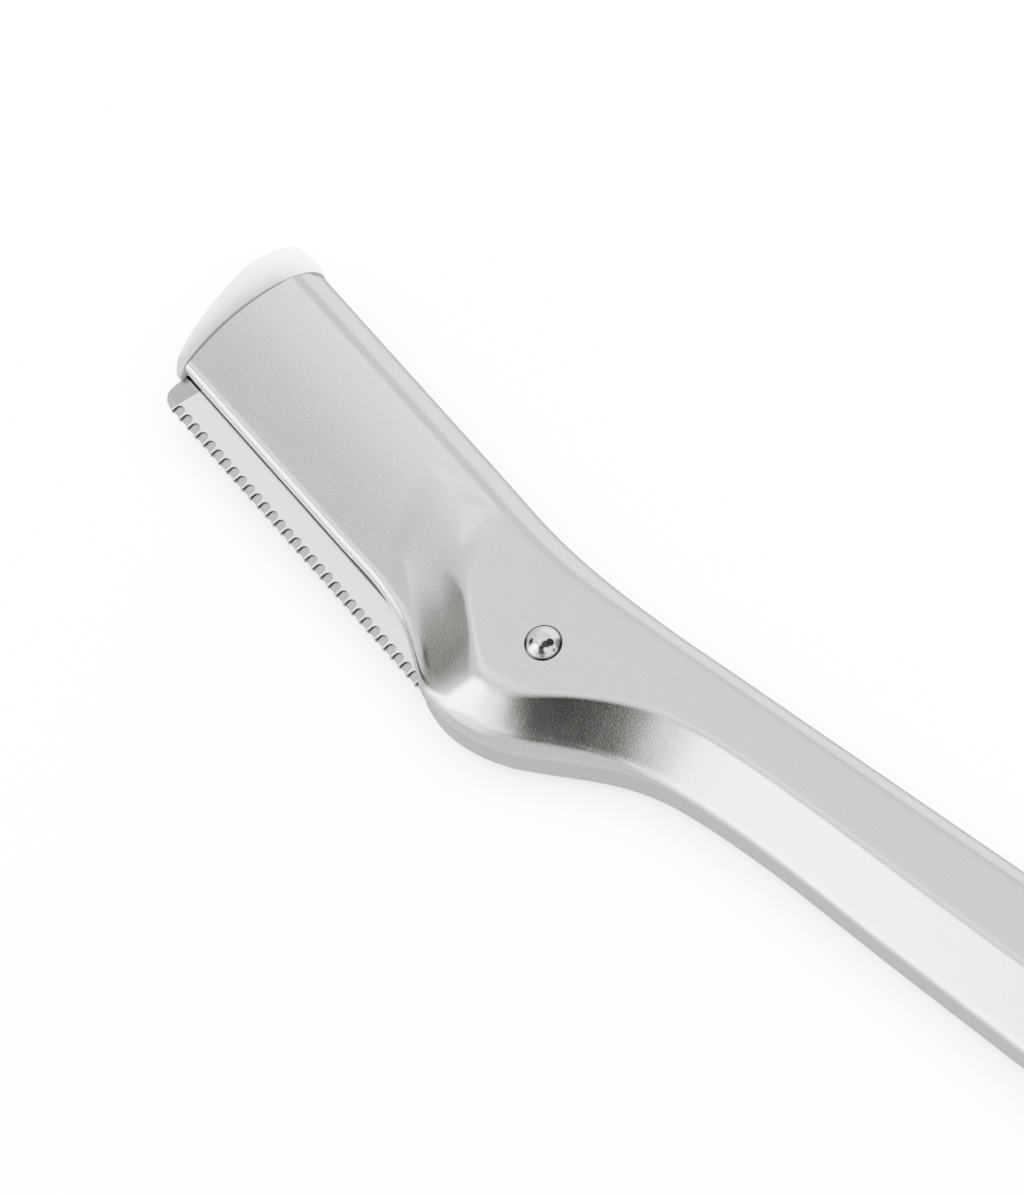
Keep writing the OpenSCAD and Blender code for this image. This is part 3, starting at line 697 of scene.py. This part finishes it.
class RAZOR_OT_shells(bpy.types.Operator):
    """Both half shells of the body, as fine lofts with an inner skin"""

    bl_idname = "razor.shells"
    bl_label = "Build shells"

    def places(self, form):
        """Where the stations stand: close together at the head and neck, and round the tail"""
        b, step = form.b, form.looks.step
        xs = []
        x = form.start
        while x < form.wide:
            xs.append(x)
            x += step if abs(x + 0.002) < 0.03 else step * 2.5
        turns = 36
        return xs + [form.wide + b.tail_round * math.sin(TAIL_LAST * i / turns) for i in range(turns + 1)]

    def half(self, form, name, mirrored, material):
        bm = bmesh.new()
        outer, inner = [], []
        xs = self.places(form)
        hollow = len(xs) - 12
        for i, x in enumerate(xs):
            s = form.station(x)
            w = s[1].length
            pts = form.profile(x, s, not mirrored)
            skins = [(pts, outer)]
            if i < hollow:
                skins.append((form.inner(pts), inner))
            for skin, rows in skins:
                row = []
                for far, height in skin:
                    p = form.on_station(s, far / w)
                    row.append(bm.verts.new((p[0], p[1], -height if mirrored else height)))
                rows.append(row)
        m = len(outer[0])
        for i in range(len(outer) - 1):
            for j in range(m - 1):
                bm.faces.new((outer[i][j], outer[i + 1][j], outer[i + 1][j + 1], outer[i][j + 1]))
        for i in range(len(inner) - 1):
            for j in range(m - 1):
                bm.faces.new((inner[i][j], inner[i][j + 1], inner[i + 1][j + 1], inner[i + 1][j]))
            for j in (0, m - 1):
                bm.faces.new((outer[i][j], inner[i][j], inner[i + 1][j], outer[i + 1][j]))
        for j in range(m - 1):
            bm.faces.new((outer[0][j], outer[0][j + 1], inner[0][j + 1], inner[0][j]))
        # the solid tail: its wall behind the hollow, and its share of the joint between the shells
        h = len(inner) - 1
        bm.faces.new(inner[h])
        there = [outer[i][m - 1] for i in range(h, len(outer))]
        back = [outer[i][0] for i in range(len(outer) - 1, h - 1, -1)]
        bm.faces.new([inner[h][0], inner[h][m - 1]] + there + back)
        bm.faces.new(outer[-1])
        obj = finish_mesh(name, bm, place(form.b), "body", material)
        self.bore(form, obj, mirrored)
        return obj

    def bore(self, form, obj, countersunk):
        """Cuts the rivet's hole, countersunk in the back shell"""
        h, half = form.h, form.half
        radius = h.shank / 2 + h.play
        over = half + 0.0005
        if countersunk:
            wide = h.tail / 2 + h.play
            pts = [(0.0, -over), (wide, -over), (wide, h.flat - half), (radius, h.sunk - half)]
        else:
            pts = [(0.0, 0.0), (radius, 0.0)]
        bm = bmesh.new()
        lathe(bm, pts + [(radius, over), (0.0, over)])
        bmesh.ops.recalc_face_normals(bm, faces=bm.faces)
        mesh = bpy.data.meshes.new("cutter")
        bm.to_mesh(mesh)
        bm.free()
        mesh.transform(place(form.b))
        cutter = bpy.data.objects.new("cutter", mesh)
        bpy.context.scene.collection.objects.link(cutter)
        cut = obj.modifiers.new("bore", "BOOLEAN")
        cut.object = cutter
        bored = obj.evaluated_get(bpy.context.evaluated_depsgraph_get())
        done = bpy.data.meshes.new_from_object(bored)
        obj.modifiers.clear()
        obj.data = done
        bpy.data.objects.remove(cutter)

    def execute(self, context):
        form = Form(context.scene)
        steel = satin_steel(context.scene)
        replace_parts(self.half(form, "front_shell_skin", False, steel), "front_shell")
        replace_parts(self.half(form, "back_shell_skin", True, steel), "back_shell")
        return {"FINISHED"}


class RAZOR_OT_rivet(bpy.types.Operator):
    """The rivet: polished dome in front, flush tail behind"""

    bl_idname = "razor.rivet"
    bl_label = "Build rivet"

    def execute(self, context):
        form = Form(context.scene)
        h, half = form.h, form.half
        rim = h.dome / 2
        ball = (rim**2 + h.dome_height**2) / (2 * h.dome_height)
        turn = math.asin(rim / ball)
        edge = h.dome / 60
        seat = h.play * 1.5
        low = h.flat / 2 - half
        pts = [(0.0, low), (h.tail / 2, low), (h.shank / 2, h.sunk - half), (h.shank / 2, half)]
        # a thin seat round the head
        pts += [(rim + seat, half), (rim + seat, half + edge / 10)]
        pts += [(rim, half + edge / 5), (rim, half + edge)]
        steps = 24
        for i in range(1, steps):
            t = turn * (1 - i / steps)
            pts.append((ball * math.sin(t), half + h.dome_height - ball * (1 - math.cos(t))))
        pts.append((0.0, half + h.dome_height))
        bm = bmesh.new()
        lathe(bm, pts)
        chrome = Nodes("polished steel")
        here = chrome.here()
        marks = chrome.noise(2500.0, 4.0, 0.7, here)
        spread = chrome.node("ShaderNodeVectorMath", {"operation": "MULTIPLY_ADD"})
        chrome.plug(spread.inputs[0], here)
        spread.inputs[1].default_value = (1, 1, 0)
        spread.inputs[2].default_value = (form.b.rest_x, form.b.rest_y, 0)
        out = chrome.node("ShaderNodeVectorMath", {"operation": "LENGTH"})
        chrome.plug(out.inputs[0], spread.outputs["Vector"])
        # painted shade and dark reflection: the dome darkens towards its rim, in the shadowed corner round
        # the head
        rim_shade = chrome.ramp(out.outputs["Value"], rim * 0.84, rim * 0.96)
        chrome.set(
            Base_Color=chrome.blend(rim_shade, (0.82, 0.81, 0.80), (0.06, 0.06, 0.06)),
            Metallic=1.0,
            Roughness=marks * 0.06 + 0.03,
            Normal=chrome.bump(chrome.noise(900.0, 2.0, 0.5, here), 0.00003, 0.12),
        )
        steel = chrome.material
        obj = finish_mesh("pivot_rivet_skin", bm, place(form.b), "body", steel, 40)
        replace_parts(obj, "pivot_rivet")
        return {"FINISHED"}


def plate(bm, outline, low, high):
    """A flat plate with the given outline between two heights"""
    bottom = [bm.verts.new((x, y, low)) for x, y in outline]
    top = [bm.verts.new((x, y, high)) for x, y in outline]
    count = len(outline)
    for i in range(count):
        k = (i + 1) % count
        bm.faces.new((bottom[i], bottom[k], top[k], top[i]))
    return bm.faces.new(top), bm.faces.new(bottom)


class RAZOR_OT_blade(bpy.types.Operator):
    """The ground blade and the slotted guard plate on each side of it"""

    bl_idname = "razor.blade"
    bl_label = "Build blade and guards"

    def blade_outline(self, form, lift):
        h = form.h
        back = PLATE_BACK
        c = h.corner
        pts = [(h.heel, lift), (h.blade_end - c, lift)]
        pts += [
            (h.blade_end - c + c * math.sin(t), lift + c - c * math.cos(t))
            for t in (math.radians(90) * i / 12 for i in range(1, 13))
        ]
        pts += [
            (h.blade_end, h.exposure), (h.blade_end - back, h.exposure + back),
            (h.blade_end - back, h.blade_height), (h.heel - back, h.blade_height),
            (h.heel - back, h.blade_height / 4),
        ]
        return pts

    def guard_outline(self, form):
        h = form.h
        end = h.blade_end - h.bare
        total = math.floor((end - h.heel) / h.pitch)
        r = h.slot / 2
        back = PLATE_BACK
        pts = [(end - back, h.blade_height), (end - back, h.exposure), (end, -h.bar)]
        for i in range(total):
            u = end - (i + 1) * h.pitch + r
            pts.append((u + r, -h.bar))
            for k in range(17):
                t = math.pi * k / 16
                pts.append((u + r * math.cos(t), h.slot_depth - r + r * math.sin(t)))
            pts.append((u - r, -h.bar))
        pts += [(h.heel, -h.bar), (h.heel - back, h.blade_height / 4), (h.heel - back, h.blade_height)]
        return pts

    def execute(self, context):
        form = Form(context.scene)
        h = form.h
        along = {"turn": -h.angle, "form": form}
        blade_steel = plain_metal("blade steel", (0.36, 0.36, 0.355), 0.22, 9000.0, (0.08, 1, 1), **along)
        guard_steel = plain_metal(
            "guard steel", (0.97, 0.97, 0.965), 0.3, 7000.0, (0.6, 1, 1), metallic=0.25, **along
        )
        # painted shade: the guards' cut edges and slot walls are coloured dark to stand for the shade in the
        # slots; their rougher finish is that of sheared metal
        sheared_and_shaded = plain_metal("sheared edge", (0.2, 0.2, 0.198), 0.4, 9000.0)
        bm = bmesh.new()
        full = self.blade_outline(form, 0.0)
        lifted = [(u, max(v, h.grind)) for u, v in full]
        thin = h.blade / 16
        layers = [(lifted, h.blade / 2), (full, thin), (full, -thin), (lifted, -h.blade / 2)]
        rings = [[bm.verts.new((*form.head(u, v), z)) for u, v in line] for line, z in layers]
        count = len(full)
        for a, b in zip(rings, rings[1:]):
            for i in range(count):
                k = (i + 1) % count
                bm.faces.new((a[i], a[k], b[k], b[i]))
        bm.faces.new(rings[0])
        bm.faces.new(rings[-1])
        bmesh.ops.remove_doubles(bm, verts=bm.verts, dist=1e-7)
        where = place(form.b)
        obj = finish_mesh("blade_skin", bm, where, "blade_unit", blade_steel, 20)
        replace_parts(obj, "blade")
        near, far = h.blade / 2, h.blade / 2 + h.guard
        for name, low, high in (("guard_front", near, far), ("guard_back", -far, -near)):
            bm = bmesh.new()
            faces = plate(bm, [form.head(u, v) for u, v in self.guard_outline(form)], low, high)
            for face in bm.faces:
                face.material_index = 0 if face in faces else 1
            obj = finish_mesh(name + "_skin", bm, where, "blade_unit", guard_steel, 30)
            obj.data.materials.append(sheared_and_shaded)
            bevel = obj.modifiers.new("edges", "BEVEL")
            bevel.width = 0.00005
            bevel.material = 1
            bevel.segments = 3
            bevel.limit_method = "ANGLE"
            bevel.angle_limit = SHARP
            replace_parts(obj, name)
        return {"FINISHED"}


class RAZOR_OT_holder(bpy.types.Operator):
    """The white blade holder: thumb tab, arm and round plate"""

    bl_idname = "razor.holder"
    bl_label = "Build holder"

    def tab(self, form, white):
        h = form.h
        low_v = 0.8 * h.exposure
        top = form.half - h.tab_gap
        steps, rings = 72, 20
        bm = bmesh.new()
        rows = []
        for i in range(steps + 1):
            share = i / steps
            # closer together towards both sides
            s = 0.5 - 0.5 * math.cos(math.pi * share)
            s = mix(share, s, 0.7)
            v = mix(low_v, h.spine, s)
            root = form.end(v) + h.tab_gap
            out = h.tab * curve(TAB_OUT, s)
            tall = top * curve(TAB_ROOT, s)
            row = []
            for k in range(2 * rings + 1):
                t = math.pi * k / (2 * rings)
                far = math.sin(t)
                bulge = h.tab_bulge * 4 * far * (1 - far) * ease((s - 0.85) / 0.15)
                row.append(bm.verts.new((*form.head(root + out * far, v + bulge), tall * math.cos(t))))
            rows.append(row)
        m = len(rows[0])
        for a, b in zip(rows, rows[1:]):
            for j in range(m - 1):
                bm.faces.new((a[j], a[j + 1], b[j + 1], b[j]))
            bm.faces.new((a[0], b[0], b[-1], a[-1]))
        bm.faces.new(rows[0])
        bm.faces.new(rows[-1])
        obj = finish_mesh("thumb_tab_skin", bm, place(form.b), "blade_unit", white, 40)
        bevel = obj.modifiers.new("edges", "BEVEL")
        bevel.width = 0.00025
        bevel.segments = 4
        bevel.limit_method = "ANGLE"
        bevel.angle_limit = math.radians(40)
        return obj

    def arm(self, form, white):
        h = form.h
        low_v = h.exposure + 0.001
        end = h.reach + h.tab_gap + h.tab / 4
        outline = [
            (0.0, low_v), (end, low_v), (end, h.exposure + 0.0034), (0.3 * h.reach, h.pivot + 0.42 * h.disc),
        ]
        start = math.asin((low_v - h.pivot) / h.disc)
        turns = [mix(math.radians(90), math.pi - start, i / 96) for i in range(97)]
        full = [(h.disc * math.cos(t), h.pivot + h.disc * math.sin(t)) for t in turns] + outline
        bm = bmesh.new()
        plate(bm, [form.head(u, v) for u, v in full], -h.holder / 2, h.holder / 2)
        bmesh.ops.triangulate(bm, faces=[f for f in bm.faces if len(f.verts) > 4])
        return finish_mesh("holder_arm_skin", bm, place(form.b), "blade_unit", white, 30)

    def execute(self, context):
        form = Form(context.scene)
        white = white_plastic(context.scene)
        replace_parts(self.tab(form, white), "blade_holder")
        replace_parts(self.arm(form, white), "blade_holder")
        return {"FINISHED"}


class RAZOR_OT_inner(bpy.types.Operator):
    """Finishes of the pieces inside the body, which keep their modelled form"""

    bl_idname = "razor.inner"
    bl_label = "Finish inner pieces"

    def execute(self, context):
        turned = plain_metal("turned steel", (0.6, 0.6, 0.6), 0.25, 3000.0, (1, 1, 6))
        spring = plain_metal("spring steel", (0.5, 0.5, 0.52), 0.3, 3000.0, (1, 6, 1))
        nylon = Nodes("washer nylon")
        nylon.set(Base_Color=(0.82, 0.8, 0.76, 1.0), Roughness=nylon.noise(2000.0) * 0.2 + 0.4)
        finishes = (
            (("stud_", "blade_pin", "stop_pin", "spring_pin", "pivot_bush"), turned),
            (("spring_washer", "detent_spring"), spring),
            (("front_washer",), nylon.material),
        )
        for name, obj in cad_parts.items():
            for starts, material in finishes:
                if name.startswith(starts):
                    obj.data.materials.clear()
                    obj.data.materials.append(material)
        return {"FINISHED"}


class RAZOR_OT_stage(bpy.types.Operator):
    """Pale floor, soft studio light and the camera"""

    bl_idname = "razor.stage"
    bl_label = "Build stage"

    def lamp(self, name, direction, distance, size, power, lit):
        """A soft lamp that mirrors nowhere, aimed at the head, for all or for the named pieces"""
        data = bpy.data.lights.new(name, "AREA")
        data.shape = "RECTANGLE"
        data.size, data.size_y = size
        data.energy = power
        obj = bpy.data.objects.new(name, data)
        bpy.context.scene.collection.objects.link(obj)
        d = Vector(direction).normalized()
        obj.location = Vector(LAMP_AIM) + d * distance
        obj.rotation_euler = d.to_track_quat("Z", "Y").to_euler()
        obj.visible_glossy = False
        obj.visible_camera = False
        if lit:
            only = bpy.data.collections.new(name)
            for piece in lit:
                only.objects.link(bpy.data.objects[piece])
            obj.light_linking.receiver_collection = only

    def floor(self):
        bm = bmesh.new()
        half = FLOOR_HALF
        corners = ((-half, -half), (half, -half), (half, half), (-half, half))
        bm.faces.new([bm.verts.new((x, y, -FLOOR_GAP)) for x, y in corners])
        mesh = bpy.data.meshes.new("floor")
        bm.to_mesh(mesh)
        bm.free()
        obj = bpy.data.objects.new("floor", mesh)
        bpy.context.scene.collection.objects.link(obj)
        n = Nodes("floor")
        n.set(Base_Color=(0.9, 0.9, 0.9, 1.0), Roughness=0.9, Specular_IOR_Level=0.1)
        mesh.materials.append(n.material)
        obj.visible_glossy = False
        obj.visible_diffuse = False

    def world(self, scene):
        world = bpy.data.worlds.new("studio")
        scene.world = world
        world.use_nodes = True
        n = Nodes.of_tree(world.node_tree)
        direction = n.node("ShaderNodeTexCoord").outputs["Generated"]
        value = SKY
        for patch in SKY_WIDE:
            value = n.spot(direction, *patch, value)
        value = n.strip(direction, *SKY_STRIP, value)
        for patch in SKY_SMALL:
            value = n.spot(direction, *patch, value)
        background = world.node_tree.nodes["Background"]
        n.plug(background.inputs["Strength"], value)
        background.inputs["Color"].default_value = (1.0, 1.0, 1.0, 1.0)

    def camera(self, scene):
        lean, side, up = Vector(CAMERA_LEAN), Vector(CAMERA_SIDE), Vector((0, 0, 1))
        across, along = CAMERA_TURN
        slope = math.cos(CAMERA_TILT) * lean - math.sin(CAMERA_TILT) * up
        right = slope * across - along * side
        down = slope * along + across * side
        back = lean * math.sin(CAMERA_TILT) + up * math.cos(CAMERA_TILT)
        rivet = place(scene.razor_body) @ Vector((0, 0, RIVET_EYE))
        x, y = (pixels / PIXELS_PER_METRE for pixels in RIVET_PIXELS)
        target = rivet - right * x - down * y
        data = bpy.data.cameras.new("camera")
        obj = bpy.data.objects.new("camera", data)
        scene.collection.objects.link(obj)
        data.sensor_width = SENSOR
        data.lens = SENSOR * CAMERA_DISTANCE * PIXELS_PER_METRE / IMAGE_HEIGHT
        data.clip_start = 0.05
        data.clip_end = 20.0
        data.dof.use_dof = False
        rotation = Matrix((right, -down, back)).transposed()
        obj.matrix_world = Matrix.Translation(target + back * CAMERA_DISTANCE) @ rotation.to_4x4()
        scene.camera = obj

    def execute(self, context):
        self.floor()
        self.world(context.scene)
        for name, settings in LAMPS.items():
            self.lamp(name, *settings)
        self.camera(context.scene)
        return {"FINISHED"}


class RAZOR_PT_panel(bpy.types.Panel):
    """Lists the operators that build the razor"""

    bl_label = "Eyebrow razor"
    bl_space_type = "VIEW_3D"
    bl_region_type = "UI"
    bl_category = "Razor"

    def draw(self, context):
        for step in STEPS:
            self.layout.operator(step.bl_idname)


STEPS = (RAZOR_OT_shells, RAZOR_OT_rivet, RAZOR_OT_blade, RAZOR_OT_holder, RAZOR_OT_inner, RAZOR_OT_stage)
CLASSES = (RazorBody, RazorHead, RazorLooks, *STEPS, RAZOR_PT_panel)


def register():
    for cls in CLASSES:
        bpy.utils.register_class(cls)
    bpy.types.Scene.razor_body = PointerProperty(type=RazorBody)
    bpy.types.Scene.razor_head = PointerProperty(type=RazorHead)
    bpy.types.Scene.razor_looks = PointerProperty(type=RazorLooks)


def unregister():
    del bpy.types.Scene.razor_looks
    del bpy.types.Scene.razor_head
    del bpy.types.Scene.razor_body
    for cls in reversed(CLASSES):
        bpy.utils.unregister_class(cls)


def main():
    register()
    bpy.ops.razor.shells()
    bpy.ops.razor.rivet()
    bpy.ops.razor.blade()
    bpy.ops.razor.holder()
    bpy.ops.razor.inner()
    bpy.ops.razor.stage()


if __name__ == "__main__":
    main()
